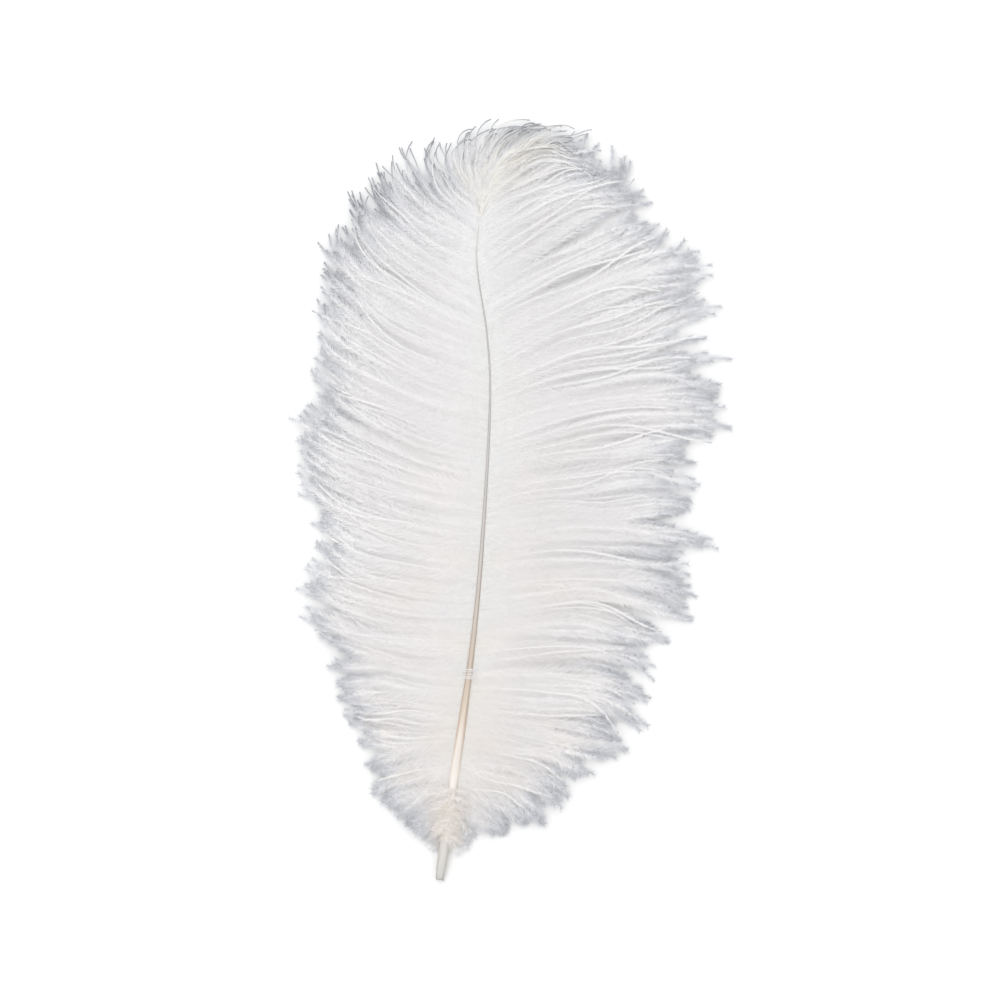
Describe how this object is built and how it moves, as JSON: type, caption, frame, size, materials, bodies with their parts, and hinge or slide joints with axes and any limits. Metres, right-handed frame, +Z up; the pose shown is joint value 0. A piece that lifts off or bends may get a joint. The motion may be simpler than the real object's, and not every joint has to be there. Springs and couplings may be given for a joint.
{
  "type": "ostrich feather",
  "caption": "White ostrich plume lying flat: a bare quill, a curving tapered shaft and long soft barbs hanging together in locks on both sides, for trimming and decoration.",
  "frame": {"origin": "on the surface that the plume lies on, under the middle of its outline", "axes": "+Y from the quill tip to the crest, +Z up from the surface, +X towards the fuller vane and the way the crest curls"},
  "size_m": [0.1825, 0.305, 0.0133],
  "materials": {
    "barbs": "matte",
    "shaft": "satin"
  },
  "bodies": {
    "root": {"feather": "barbs"}
  },
  "joints": []
}
